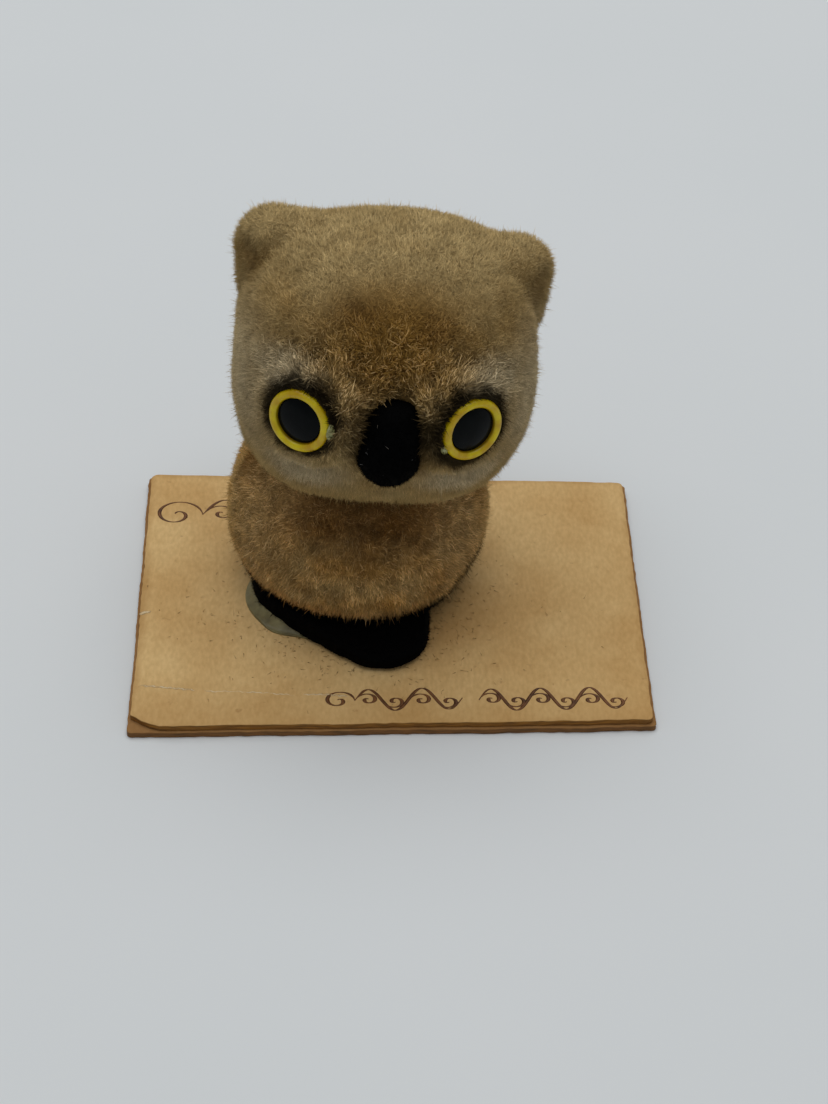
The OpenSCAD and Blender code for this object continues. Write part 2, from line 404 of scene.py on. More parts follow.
def head_reach(rays):
    """The head without its ears: |x / a|^p + (radius about x / b)^p = 1, solved along each ray."""
    across = np.abs(rays[..., 0]) / (HEAD_HALF - PILE)
    about = np.hypot(rays[..., 1], rays[..., 2]) / (HEAD_R - PILE)
    return (across ** HEAD_POWER + about ** HEAD_POWER) ** (-1 / HEAD_POWER)


print("head centre:", HEAD_AT.round(2), "body base:", BODY_AT.round(2))

# %% [markdown]
# An eye sits in a seat that turns outwards by 30 degrees and up by 6. Its frame is an origin on
# the head and an outward axis. The coat is pressed in under each rim, as it is where the eye was
# pushed into wet cement.

# %% Frames of the eyes
EYE_R, PUPIL_R = 3.12, 2.26
SPLAY, RISE = math.radians(30), math.radians(6)


def eye_frame(side, name):
    """The eye's origin, its level axis, its upright axis and its outward axis."""
    out = np.array([side * math.sin(SPLAY) * math.cos(RISE), -math.cos(SPLAY) * math.cos(RISE),
                    math.sin(RISE)])
    across = np.array([math.cos(SPLAY), side * math.sin(SPLAY), 0])
    out, across = out @ HEAD_TURN.T, across @ HEAD_TURN.T
    return node_middle(name) - 0.5 * out, across, np.cross(out, across), out


EYES = {LEFT: eye_frame(LEFT, "pupil_left"), RIGHT: eye_frame(RIGHT, "pupil_right")}


def eye_places(points, side):
    """Points in an eye's frame: level, upright and outward distances."""
    origin, across, upright, out = EYES[side]
    return np.stack([(points - origin) @ across, (points - origin) @ upright,
                     (points - origin) @ out], -1)


# %% [markdown]
# The head's coat is one surface, because head and ears were flocked together. Along every ray from
# the head's centre it lies where the head or an ear reaches furthest, with the joint softened as
# glue and pile soften it. Then it is dented at the ears' hollows and the eyes' seats, and a fine
# noise makes the lumps of a hand-shaken coat.

# %% Coat of the head
EARS = {LEFT: chain((-11.1, 3.7, 9.8, 3.4), (-11.7, 3.2, 6.4, 2.5), (-8, 3.7, 9.3, 3.5)),
        RIGHT: chain((11.9, 2.7, 8.6, 3.4), (12.3, 2.4, 4.8, 2.5), (9, 2.8, 8.3, 3.5))}
EAR_CUP = {LEFT: np.array([-15.5, 0.4, 10.4]), RIGHT: np.array([16.3, -0.6, 9.2])}
CUP_R = 2.75
COLLAR_HIGH, COLLAR_SLOPE = 0.62, 0.5    # how far the coat stands up round an eye, and its fall per mm
NOSE = chain((0.35, -13.9, -1.2, 2.85), (0.8, -13.3, 1.9, 2.55))

def lumps(places, seed):
    """Unevenness of a hand-shaken coat: a fine noise and a slow one, kept between -0.24 and 0.3."""
    return np.clip(0.14 * noise(places, 1.5, seed) + 0.22 * noise(places, 3.8, seed + 1), -0.24, 0.3)


rays = all_round(170, 280)
far = head_reach(rays)
bare_head = far
for side in (LEFT, RIGHT):
    ear = np.max([reach(rays, b[:3], b[3]) for b in EARS[side]], axis=0)
    far = joined(far, ear, 1.2)
for side in (LEFT, RIGHT):
    along = rays @ EAR_CUP[side]
    room = along ** 2 - EAR_CUP[side] @ EAR_CUP[side] + CUP_R ** 2
    near = along - np.sqrt(np.maximum(room, 0))
    far = np.where((room > 0) & (along > 0), -joined(-far, -near, 0.8), far)
places = rays * far[..., None]
far = far + lumps(places, 11) * (1 - 0.75 * step(far - bare_head, 0.0, 0.5))
places = from_head(rays * far[..., None])
for side in (LEFT, RIGHT):
    seen = eye_places(places, side)
    away = np.hypot(seen[..., 0], seen[..., 1])
    near = 1 - step(away, EYE_R - 0.25, EYE_R + 0.02)
    collar = np.maximum(COLLAR_HIGH - COLLAR_SLOPE * (away - EYE_R) - seen[..., 2], 0)
    collar = collar * (1 - step(away, 4.4, 5.6))
    rise_by = (1 - near) * collar - near * np.maximum(seen[..., 2] + 1.0, 0)
    places = places + np.where(seen[..., 2] > -4, rise_by, 0)[..., None] * EYES[side][3]
head_grid = places
print("coat of the head:", head_grid.shape, "reach (mm):", far.min().round(2), far.max().round(2))

# %% [markdown]
# The airbrush worked in soft-edged fields: a warm tan all over, brown over the forehead with two
# darker patches, pale grey brows and cheeks, pale temples that are partly painted rim light, brown
# round the nose, and black in the eye sockets and the ears' hollows. Each field is a smooth
# function of the place on the head.

# %% Colours of the head's coat
TAN, BROWN, DEEP, PALE, SOOT = (linear(c) for c in ("#e6c88c", "#b98c42", "#7d5420", "#f4dfb4", "#0c0806"))


def spot(places, centre, radii, soft=1.0):
    """1 at the middle of an egg-shaped spot, 0 outside it: 1 - step of the scaled distance."""
    away = np.linalg.norm((places - np.array(centre)) / np.array(radii), axis=-1)
    return 1 - step(away, 1 - soft, 1.0)


def socket(points, side):
    """How black the socket is: from the rim out to a width that is greater above and inside."""
    across, upright, out = np.moveaxis(eye_places(points, side), -1, 0)
    away = np.hypot(across, upright)
    turn = np.arctan2(upright, -side * across)
    reach_out = 1.0 + 0.5 * np.cos(turn - (1.5 if side == LEFT else 0.3))
    ragged = away + 0.45 * noise(points, 0.9, 21)
    return (1 - step(ragged - EYE_R, 0.4 * reach_out, 1.5 * reach_out)) * (out > -6)


TOP_FIELDS = (    # colour, strength, middle, radii, softness
    (BROWN, 0.95, (0, -10.5, 8.6), (10.5, 9, 8.8), 0.8),
    (DEEP, 0.55, (-3.2, -8.6, 10.6), (3.6, 3, 2.6), 1.0),
    (DEEP, 0.45, (3.6, -9.4, 9.6), (3.4, 3, 2.4), 1.0))
PALE_AND_RIM_LIT_FIELDS = (    # strength, middle on the right side, radii, softness
    (0.9, (9.8, -10.8, 5.4), (5.4, 6, 3.0), 0.8),
    (0.95, (7.6, -12.0, -4.8), (6.4, 5, 3.6), 0.8),
    # The temple field stands partly for painted rim light at the head's silhouette.
    (0.95, (13.5, -5, 1), (6.5, 12, 10), 0.9))
NOSE_FIELDS = (
    (DEEP, 0.7, (0.4, -14, -0.4), (4.8, 6, 5.2), 0.6),
    (SOOT, 0.85, (-2.6, -13.2, 0.2), (2.4, 4, 4.2), 1.0),
    (SOOT, 0.85, (3.4, -13.2, 0.2), (2.2, 4, 4.0), 1.0),
    (SOOT, 0.95, (-1.6, -13.4, 2.1), (1.7, 4, 2.4), 0.7),
    (SOOT, 0.95, (3.1, -13.4, 2.0), (1.6, 4, 2.4), 0.7),
    (SOOT, 0.6, (0.7, -13.5, 4.3), (2.6, 4, 1.6), 1.0))


def head_tone(points):
    """The colour of the head's coat at each point: tan, then each field over the last. The pale
    temples stand partly for painted rim light.
    """
    p = to_head(points)
    uneven = noise(points, 2.4, 22)
    crown = step(p[:, 2], 9, 13)
    tone = mix(TAN, BROWN, 0.32 + (0.25 - 0.15 * crown) * uneven - 0.3 * crown)
    for colour, strength, middle, radii, soft in TOP_FIELDS:
        tone = mix(tone, colour, strength * spot(p, middle, radii, soft))
    for side in (LEFT, RIGHT):
        for strength, middle, radii, soft in PALE_AND_RIM_LIT_FIELDS:
            tone = mix(tone, PALE, strength * spot(p, np.array(middle) * (side, 1, 1), radii, soft))
        tone = mix(tone, DEEP, 0.9 * spot(p, EAR_CUP[side] * (0.9, 1, 0.95), (2.6, 3.2, 3.0)))
    for colour, strength, middle, radii, soft in NOSE_FIELDS:
        tone = mix(tone, colour, strength * spot(p, middle, radii, soft))
    tone = mix(tone, DEEP, 0.7 * spot(p, (8.4, -12, -2.6), (3.6, 5, 1.6)) * step(uneven, -0.2, 0.5))
    for side in (LEFT, RIGHT):
        tone = mix(tone, SOOT, 0.97 * socket(points, side))
    return tone


# %% [markdown]
# The body's coat is a turned outline: a quarter ellipse below its widest ring and a fuller curve
# above. Its top is pressed down to the underside of the head, which covers it. The pile parts
# into a few upright folds there, paler than the rest.

# %% Coat of the body
HEM_IN = 0.1       # the hem is drawn in this far
DEEPEST = -0.05    # the moulding lies close under this coat, so its hollows are shallow

turn = np.linspace(0, 2 * np.pi, 300, endpoint=False)
level = np.concatenate([[0.0, 0.0], (BODY_WIDE + BODY_HIGH) * np.sin(np.linspace(0.01, 1.565, 96))])
low = np.sqrt(np.maximum(1 - ((BODY_WIDE - level) / BODY_LOW) ** 2, 0))
high = np.maximum(1 - (np.maximum(level - BODY_WIDE, 0) / BODY_HIGH) ** BODY_POWER, 0) ** (1 / BODY_POWER)
radius = BODY_R * np.where(level < BODY_WIDE, low, high) - PILE - HEM_IN * (1 - step(level, 0.5, 4))
radius = np.maximum(radius, 0.2)
radius[0] = radius[1] - 1.5
folds = 0.12 + 0.12 * np.sin(5 * turn + 0.8) + 0.08 * np.sin(9 * turn + 2.1)
radius = radius[:, None] + folds * np.sin(np.pi * np.clip(level / 14, 0, 1))[:, None]
body_grid = np.stack([radius * np.cos(turn), radius * np.sin(turn),
                      np.broadcast_to(level[:, None], radius.shape)], -1)
uneven = np.maximum(lumps(body_grid[1:], 31), DEEPEST)
body_grid[1:] += normals_of(body_grid)[1:] * uneven[..., None]
body_grid = from_body(body_grid)
local = to_head(body_grid)
narrowing = np.maximum(1 - (np.abs(local[..., 0]) / HEAD_HALF) ** HEAD_POWER, 0)
widest = (HEAD_R - 1.0) * narrowing ** (1 / HEAD_POWER)
under = -np.sqrt(np.maximum(widest ** 2 - local[..., 1] ** 2, 0))
body_covered = (widest > np.abs(local[..., 1])) & (local[..., 2] > under)
local[..., 2] = np.where(body_covered, under, local[..., 2])
body_grid = from_head(local)


def body_tone(points):
    """The colour of the body's coat: tan, darker under the chin, partly as painted shade of the head,
    two pale sides that are partly painted rim light, a brown hem, and soot from the rim that climbs
    the right flank."""
    p = (points - BODY_AT) @ BODY_TURN
    around = np.degrees(np.arctan2(p[:, 0], -p[:, 1]))
    ochre = linear("#c4882f")
    tone = mix(TAN, ochre, 0.6 + 0.3 * noise(points, 2.2, 33))
    # Darker at the front under the chin: partly airbrush, partly painted shade of the head above.
    tone = mix(tone, linear("#6e4210"), 0.75 * step(p[:, 2], 5.5, 11.0) * (p[:, 1] < 0))
    # Two paler bands on the flanks, which stand partly for painted rim light on the pile.
    for middle, width in ((-55, 18), (58, 20)):
        tone = mix(tone, linear("#fbcb84"), 0.95 * np.exp(-((around - middle) / width) ** 2))
    hem = linear("#a86c34")
    tone = mix(tone, hem, 0.6 * (1 - step(p[:, 2], 0.2, 2.4)))
    soiled = step(np.abs(around + 18), 42, 60)
    hem_top = 0.6 + 2.9 * step(around, 22, 72) * (1 - step(around, 82, 165)) + 0.25 * noise(points, 0.9, 34)
    tone = tone * np.minimum(1.4, 0.85 / tone.max(1))[:, None]
    return mix(tone, SOOT, 0.97 * soiled * (1 - step(p[:, 2] - hem_top, -0.2, 0.3)))


print("coat of the body:", body_grid.shape)

# %% [markdown]
# Foot and plug rim wear a short black velvet. The foot is a low sole with a toe, a flank and a
# heel: its plan is the furthest reach of balls run together, and its top slopes up from the toe
# to the body. The rim is a turned edge under the body. The nose is two balls run together.

# %% Coats of the foot, the rim and the nose
CARD_TOP = 1000 * float(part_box("card_face")[1].z)
SOLE = 1000 * float(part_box("foot")[0].z)
VELVET = 0.15
foot_centre = np.array([-4.0, -1.0])
foot_balls = chain((3.0, -5.9, 4.85), (-3.6, 1.3, 6.4), (2.0, 6.0, 6.0))
foot_turn = np.linspace(0, 2 * np.pi, 260, endpoint=False)
foot_rays = np.stack([np.cos(foot_turn), np.sin(foot_turn)], -1)
foot_reach = np.max([reach(foot_rays, b[:2], b[2] - VELVET) for b in foot_balls], axis=0)
foot_reach = foot_reach + 0.12 * noise(np.pad(foot_rays * foot_reach[:, None], ((0, 0), (0, 1))), 1.4, 41)


def foot_top(xy):
    """Height of the foot over its sole: a straight slope from 1.6 at the toe's tip to 2.7, which it
    reaches sooner on the flank's side than on the heel's."""
    full = np.clip(-5.6 + 0.91 * (xy[..., 0] + 7.6), -5.6, -0.5)
    return 1.6 + 1.1 * np.clip((xy[..., 1] + 11.25) / (full + 11.25), 0, 1) - VELVET


rounds = [(0.985, 0.0, 0.05), (1.0, 0.0, 0.25)] + [(1.0, t, 0.0) for t in np.linspace(0.2, 0.75, 8)]
rounds += [(0.993, 0.87, 0.0), (0.975, 0.96, 0.0), (0.95, 1.0, 0.0)]
rounds += [(s, 1.0, 0.0) for s in np.linspace(0.9, 0.05, 18)]
scale, share, lift = np.array(rounds).T
foot_xy = foot_centre + scale[:, None, None] * foot_reach[:, None] * foot_rays
foot_z = SOLE + lift[:, None] + share[:, None] * foot_top(foot_xy)
foot_grid = np.concatenate([foot_xy, foot_z[..., None]], -1)
foot_grid += 0.05 * noise(foot_grid, 0.8, 42)[..., None] * normals_of(foot_grid)

RIM_R = 11.35
rim_profile = ([(RIM_R - 2, -1.2)] + arc((RIM_R - 0.4, -0.8), 0.4, -90, 0) + [(RIM_R, -0.3), (RIM_R, 0.05)]
               + [(RIM_R - 1, 0.1)])
rim_grid = lathe(rim_profile, BODY_AT, BODY_TURN[:, 2], 260)
nose_rays = all_round(60, 90)
nose_middle = np.array([0.55, -13.6, 0.3])
nose_reach = np.max([reach(nose_rays, b[:3] - nose_middle, b[3]) for b in NOSE], axis=0)
nose_reach = nose_reach + 0.07 * noise(nose_rays * nose_reach[..., None], 0.8, 43)
nose_grid = from_head(nose_middle + nose_rays * nose_reach[..., None])
print("foot reach (mm):", foot_reach.min().round(2), foot_reach.max().round(2))

# %% [markdown]
# Each coat is closed with a pole at either end. The ground under the pile is the darkest part of
# the coat, because little light gets down between the fibres.

# %% Make the coats
INK_BLACK = linear("#020202")


def coat(name, grid, tone, material, replaces):
    """The ground of a coat, from its grid and the colour of each point."""
    points = closed(grid)
    return make_piece(name, points, round_faces(*grid.shape[:2]), material, tone, replaces)


coat("head_coat", head_grid, 0.55 * head_tone(closed(head_grid)), tan_flock, ["head_flock"])
coat("body_coat", body_grid, 0.55 * body_tone(closed(body_grid)), tan_flock, ["body_flock"])
coat("foot_velvet", foot_grid, INK_BLACK, black_flock, ["black_flock"])
coat("rim_velvet", rim_grid, INK_BLACK, black_flock, [])
coat("nose_velvet", nose_grid, INK_BLACK, black_flock, ["nose_flock"])

# %% [markdown]
# The pile itself is real geometry: each fibre is a closed spike of four triangles, from 0.07 mm
# wide at the root on the crown to 0.19 on the brow. Real flock is finer and denser, and is drawn
# as coarse as it needs to show. Roots are strewn evenly over the coat. Fibres lean together in
# tufts, as a smooth noise turns them, and three in a hundred stand longer than their neighbours.

# %% Flock fibres
def strew(grid, per_mm2, seed):
    """Random roots on a grid, as many per area everywhere: a triangle is drawn in proportion to its
    area, and a place in it by sqrt(u) and v. Returns roots and normals."""
    rng = np.random.default_rng(seed)
    points, normals = grid.reshape(-1, 3), normals_of(grid).reshape(-1, 3)
    quads = round_faces(*grid.shape[:2])[0]
    triangles = np.concatenate([quads[:, [0, 1, 2]], quads[:, [0, 2, 3]]])
    a, b, c = (points[triangles[:, i]] for i in range(3))
    area = np.linalg.norm(np.cross(b - a, c - a), axis=1) / 2
    drawn = triangles[rng.choice(len(triangles), int(area.sum() * per_mm2), p=area / area.sum())]
    u, v = np.sqrt(rng.random(len(drawn))), rng.random(len(drawn))
    shares = np.stack([1 - u, u * (1 - v), u * v], 1)[..., None]
    return (shares * points[drawn]).sum(1), unit((shares * normals[drawn]).sum(1))


def lightness(tone):
    """Luminance of linear colours."""
    return tone @ np.array([0.2126, 0.7152, 0.0722])


def fibres(name, roots, normals, tone, material, length, width, lean, comb, seed,
           contrast=0.35):
    """One closed spike per root: direction = normal + lean * tuft noise + comb + a little chance.
    The base is an even triangle round the root and the tip lies length away."""
    rng = np.random.default_rng(seed)
    tuft = np.stack([noise(roots, 1.1, 61 + i) for i in range(3)], 1)
    aim = unit(normals + lean * tuft + comb + 0.5 * rng.normal(size=roots.shape))
    reach_out = length * rng.uniform(0.75, 1.15, len(roots))
    reach_out = np.where(rng.random(len(roots)) < 0.03, 1.8 * reach_out, reach_out)
    side = unit(np.cross(aim, rng.normal(size=roots.shape)))
    other = np.cross(aim, side)
    foot = roots - 0.12 * normals
    thick = width / 2 * rng.uniform(0.75, 1.25, (len(roots), 1))
    corners = [foot + thick * (math.cos(a) * side + math.sin(a) * other) for a in (0, 2.0944, 4.1888)]
    points = np.stack(corners + [foot + reach_out[:, None] * aim], 1)
    first = 4 * np.arange(len(roots))[:, None]
    faces = np.concatenate([first + np.array(t) for t in ((0, 2, 1), (0, 1, 3), (1, 2, 3), (2, 0, 3))])
    own = 1 + contrast * (2.2 * rng.random((len(roots), 1)) ** 3 - 0.6)
    grey = lightness(tone)[:, None] * np.array([1.15, 1.0, 0.7])
    tone = own * mix(tone, grey, 0.35 * np.clip(own[:, 0] - 1, 0, 1))
    # The three root corners are darkened to 0.55 as painted shade down in the pile; the tip is lightened to
    # 1.12.
    root_shaded_tones = np.stack([0.55 * tone] * 3 + [1.12 * tone], 1)
    lit_as = unit(normals + 0.25 * aim)
    return make_piece(name, points.reshape(-1, 3), [faces], material, root_shaded_tones.reshape(-1, 3),
                      lit_as=np.repeat(lit_as, 4, axis=0))


# %% [markdown]
# The head's pile leaves out the eyes' seats, the nose and the patch that the body hides. It is
# split by side and by colour into pieces of under fifty thousand fibres, so that each stays light
# enough to print or repaint, and the sooty fibres are pieces of their own.

# %% Pile of the head
PILE_PER_MM2 = 66
RIM_CLEAR, NOSE_CLEAR = 0.2, 0.2    # mm kept free of roots round the eyes and the nose
SOCKET_SHORT = 0.62                # the sooty fibres are shorter, so that they stay off the rims
roots, normals = strew(head_grid, PILE_PER_MM2, 71)
keep = np.ones(len(roots), bool)
for side in (LEFT, RIGHT):
    seen = eye_places(roots, side)
    keep &= ~((np.hypot(seen[:, 0], seen[:, 1]) < EYE_R + RIM_CLEAR) & (seen[:, 2] > -6))
local = to_head(roots)
for b in NOSE:
    keep &= np.linalg.norm(local - b[:3], axis=1) > b[3] + NOSE_CLEAR
low_down = (roots - BODY_AT) @ BODY_TURN
keep &= ~((np.hypot(low_down[:, 0], low_down[:, 1]) < 7.5) & (local[:, 2] < 0))
roots, normals, local = roots[keep], normals[keep], local[keep]
tone = head_tone(roots)
ruffled = spot(local, (0, -12, 4.5), (16, 9, 9), 0.7)
tone = tone * (1 + (0.15 + 0.3 * ruffled) * noise(roots, 0.8, 72))[:, None]
brow = spot(local, (0, -12, 5), (14, 8, 6), 0.8)[:, None]
comb = brow * np.array([0, 0, 0.75]) + (1 - brow) * np.array([0, 0, -0.1])
sooty = lightness(tone) < 0.035
regions = {"front_left": (local[:, 1] < 1) & (local[:, 0] < 0) & ~sooty,
           "front_right": (local[:, 1] < 1) & (local[:, 0] >= 0) & ~sooty,
           "back_left": (local[:, 1] >= 1) & (local[:, 0] < 0) & ~sooty,
           "back_right": (local[:, 1] >= 1) & (local[:, 0] >= 0) & ~sooty,
           "sockets": sooty}
for i, (region, inside) in enumerate(regions.items()):
    rough = ruffled[inside]
    length = (0.74 + 0.38 * rough) * (SOCKET_SHORT if region == "sockets" else 1)
    width = (0.07 + 0.12 * rough)[:, None]
    lean = (0.35 + 0.55 * rough)[:, None]
    contrast = (0.25 + 0.55 * rough)[:, None]
    fibres("pile_head_" + region, roots[inside], normals[inside], tone[inside], tan_flock,
           length, width, lean, comb[inside], 81 + i, contrast)

# %% Pile of the body
roots, normals = strew(body_grid[2:], PILE_PER_MM2, 73)
local = to_head(roots)
about = np.hypot(local[:, 1], local[:, 2]) / (HEAD_R - 0.6)
room = (np.abs(local[:, 0]) / HEAD_HALF) ** HEAD_POWER + about ** HEAD_POWER
roots, normals = roots[room > 1], normals[room > 1]
tone = body_tone(roots) * (1 + 0.35 * noise(roots, 0.8, 74))[:, None]
front = roots[:, 1] < BODY_AT[1]
for i, (region, inside) in enumerate((("front", front), ("back", ~front))):
    fibres("pile_body_" + region, roots[inside], normals[inside], tone[inside], tan_flock,
           0.85, 0.1, 0.75, np.array([0, 0, -0.35]), 86 + i, 0.55)

# %% Black pile
for i, (name, grid, per_mm2) in enumerate((("foot", foot_grid[1:-4], 45), ("rim", rim_grid[1:-1], 45),
                                           ("nose", nose_grid, 60))):
    roots, normals = strew(grid, per_mm2, 75 + i)
    black = np.broadcast_to(linear("#030303"), roots.shape)
    fibres("pile_" + name, roots, normals, black, black_flock, 0.42, 0.08, 0.5,
           np.zeros(3), 91 + i)

# %% [markdown]
# The eyes are two-part buttons of moulded styrene: a yellow rim with a round lip, and a black
# dome set in it. Moulded plastic keeps the polish of its mould, so it gives a small bright
# reflection of the lamp. A thin amber ring on the yellow against the pupil is painted shade of the
# gap between rim and pupil.

# %% Eye materials
rim_yellow, tree, shader = new_material("styrene_moulded_yellow", Roughness=0.28, IOR=1.59)
age = ramp(tree, grain(tree, 1.4).outputs["Fac"], (0.35, "#c29a00"), (0.65, "#dcc600"))
shader.inputs["Specular IOR Level"].default_value = 0.3
inner = add(tree, "Attribute", attribute_name="tone")
tree.links.new(blend(tree, "MULTIPLY", 1.0, inner.outputs["Color"], age), shader.inputs["Base Color"])
bump(tree, shader, grain(tree, 0.9).outputs["Fac"], 0.03)

pupil_black, tree, shader = new_material("styrene_moulded_black", Roughness=0.18, IOR=1.59)
haze = ramp(tree, grain(tree, 1.1).outputs["Fac"], (0.3, "#040606"), (0.75, "#0a0d0e"))
shader.inputs["Specular IOR Level"].default_value = 0.05
tree.links.new(haze, shader.inputs["Base Color"])
bump(tree, shader, grain(tree, 0.5).outputs["Fac"], 0.01)

old_cement, tree, shader = new_material("contact_cement_yellowed", Roughness=0.25, IOR=1.5,
                                        Transmission_Weight=0.35)
amber = ramp(tree, grain(tree, 0.5).outputs["Fac"], (0.3, "#9a9a4a"), (0.7, "#d8d79a"))
tree.links.new(amber, shader.inputs["Base Color"])

# %% Eyes
EYE_PROUD, LIP_R = 0.95, 0.42
rim_profile = ([(EYE_R - 0.15, -1.2), (EYE_R, -1.05), (EYE_R, 0.2)]
               + arc((EYE_R - LIP_R, EYE_PROUD - LIP_R), LIP_R, 0, 180, 14)
               + [(PUPIL_R, 0.45), (PUPIL_R - 0.02, 0.3), (PUPIL_R - 0.05, 0.12)])
dome_r = (PUPIL_R ** 2 + 0.4 ** 2) / 0.8
dome_at = np.linspace(1, 0.03, 24) * (PUPIL_R - 0.03)
dome = [(r, 0.9 - dome_r + math.sqrt(dome_r ** 2 - r ** 2)) for r in dome_at]
pupil_profile = [(PUPIL_R - 0.03, 0.13), (PUPIL_R - 0.03, 0.3)] + dome
for side, word in ((LEFT, "left"), (RIGHT, "right")):
    origin, _, _, out = EYES[side]
    grid = lathe(rim_profile, origin, out, 120)
    points = closed(grid)
    away = np.hypot(*np.moveaxis(eye_places(points, side)[:, :2], -1, 0))
    # A thin amber ring against the pupil: painted shade of the gap between rim and pupil.
    pupil_gap_shade = 1 - step(away, PUPIL_R, PUPIL_R + 0.13)
    tone = mix(np.ones(3), linear("#6a4406"), 0.8 * pupil_gap_shade)
    make_piece("eye_rim_" + word, points, round_faces(*grid.shape[:2]), rim_yellow, tone,
               ["eye_ring_" + word])
    grid = lathe(pupil_profile, origin, out, 120)
    make_piece("eye_pupil_" + word, closed(grid), round_faces(*grid.shape[:2]), pupil_black,
               None, ["pupil_" + word])

# %% Beads of cement beside the eyes
for side, word, angle, size in ((LEFT, "left", 0, (0.48, 0.85)), (RIGHT, "right", 205, (0.36, 0.5))):
    origin, across, upright, out = EYES[side]
    turn_to = math.radians(angle)
    spoke = math.cos(turn_to) * across + math.sin(turn_to) * upright
    along = np.cross(out, spoke)
    rays = all_round(26, 36)
    lump = 1 + 0.12 * noise(rays * 2 + 5, 0.9, 101)
    points = (size[0] * rays[..., :1] * spoke + size[1] * rays[..., 1:2] * along
              + size[0] * rays[..., 2:] * out) * lump[..., None]
    points = closed(points + origin + (EYE_R + 0.12) * spoke + 0.35 * out)
    make_piece("eye_bead_" + word, points, round_faces(26, 36), old_cement, None,
               ["eye_cement_" + word])

# %% [markdown]
# The card is two plies of pulp board pasted together. Both were cut with a guillotine and have
# worn round at the edge since. The upper ply lost its front left corner. Each ply is an outline
# carried from its underside, over a soft edge, to the middle of its top. The distance from the
# edge is kept on every point, because handling browns a card from its edges inward. The same
# value carries a painted shade across the front, partly browning, a darkening towards the right,
# and a painted shadow of the owl round its foot, with some flock dust.

# %% Card outlines
CARD_W = 1000 * float(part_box("card_backing")[1].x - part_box("card_backing")[0].x)
CARD_LEFT, CARD_RIGHT = 39.3, 37.2
CORNER_CUT = (2.8, 1.6)


def card_outline(inset, radius, cut, around=900):
    """The card's outline anticlockwise from its front left, evenly spaced: straight edges, round
    corners, and perhaps a corner cut off."""
    x, left, right = CARD_W / 2 - inset, CARD_LEFT / 2 - inset, CARD_RIGHT / 2 - inset
    front_left = arc((-x + radius, -left + radius), radius, 180, 270)
    if cut:
        front_left = [(-x, -left + CORNER_CUT[1]), (-x + 1.1, -left + 0.75), (-x + CORNER_CUT[0], -left)]
    corners = (front_left + arc((x - radius, -right + radius), radius, 270, 360)
               + arc((x - radius, right - radius), radius, 0, 90)
               + arc((-x + radius, left - radius), radius, 90, 180))
    loop = np.array(corners + corners[:1])
    run = np.concatenate([[0], np.cumsum(np.linalg.norm(np.diff(loop, axis=0), axis=1))])
    even = np.linspace(0, run[-1], around, endpoint=False)
    line = np.stack([np.interp(even, run, loop[:, 0]), np.interp(even, run, loop[:, 1])], 1)
    ahead = np.roll(line, -1, axis=0) - np.roll(line, 1, axis=0)
    outward = unit(np.stack([ahead[:, 1], -ahead[:, 0]], 1))
    at = np.pad(line, ((0, 0), (0, 1)))
    wear = 0.05 * noise(at, 0.7, 111) + 0.09 * noise(at, 4.5, 112)
    return line + (wear - 0.05)[:, None] * outward


def edge_distance(xy):
    """Distance in mm from a place on the card to its nearest edge, worked out edge by edge."""
    half = (CARD_LEFT + CARD_RIGHT) / 4 + (CARD_RIGHT - CARD_LEFT) / 2 * xy[..., 0] / CARD_W
    return np.minimum(CARD_W / 2 - np.abs(xy[..., 0]), half - np.abs(xy[..., 1]))


def card_rise(xy):
    """How far the card's top bows: a crease across the left front and a slow unevenness."""
    at = np.concatenate([xy, np.zeros(xy.shape[:-1] + (1,))], -1)
    crease = np.exp(-((xy[..., 1] + 14.6 + 0.2 * np.sin(0.5 * xy[..., 0])) / 0.25) ** 2)
    return (0.03 * noise(at, 7, 113) + 0.012 * noise(at, 1.3, 114)
            - 0.05 * crease * (xy[..., 0] < -4) * step(-xy[..., 0], 4, 7))


def ply(name, outline, bottom, top, material, replaces, rises):
    """A ply of the card: rings of its outline drawn in towards the middle, with a worn edge."""
    thick = top - bottom
    rings = [(0.3, 0.0, 0), (0.7, 0.0, 0), (0.996, 0.0, 0)]
    rings += [(1.0, t, 0) for t in (0.06, 0.2, 0.35, 0.5, 0.65, 0.8, 0.94)]
    rings += [(0.998, 0.99, 1), (0.995, 1.0, 1)] + [(s, 1.0, 1) for s in np.linspace(0.985, 0.03, 60)]
    size, share, upper = np.array(rings).T
    xy = size[:, None, None] * outline
    z = bottom + thick * share[:, None] + rises * upper[:, None] * card_rise(xy)
    grid = np.concatenate([xy, z[..., None]], -1)
    side_wear = ((share > 0.05) & (share < 0.97))[:, None, None]
    grid[..., :2] += side_wear * 0.05 * noise(grid * (1, 1, 5), 0.8, 115)[..., None] * unit(outline)
    points = closed(grid)
    wear_and_shade = 1 - step(edge_distance(points[:, :2]) + 0.5 * noise(points, 2.6, 116), 0.0, 1.5)
    # Darker across the front, which is painted shade and partly browning from handling, and darker towards
    # the right.
    front_shade_and_right_darkening = 0.85 * (1 - step(points[:, 1] + 0.6 * noise(points, 3.1, 117), -21, -9))
    front_shade_and_right_darkening = np.maximum(front_shade_and_right_darkening, 0.45 * step(points[:, 0], 8, 24))
    # Painted shadow of the owl round its foot, with some flock dust in it.
    owl_shadow_and_dust = 0.8 * (1 - step(np.hypot(points[:, 0] - 1.5, points[:, 1] + 1.0), 6.0, 13.0))
    wear_and_shade = np.maximum(wear_and_shade, np.maximum(front_shade_and_right_darkening, owl_shadow_and_dust))
    make_piece(name, points, round_faces(*grid.shape[:2]), material, wear_and_shade[:, None] * np.ones(3),
               replaces)
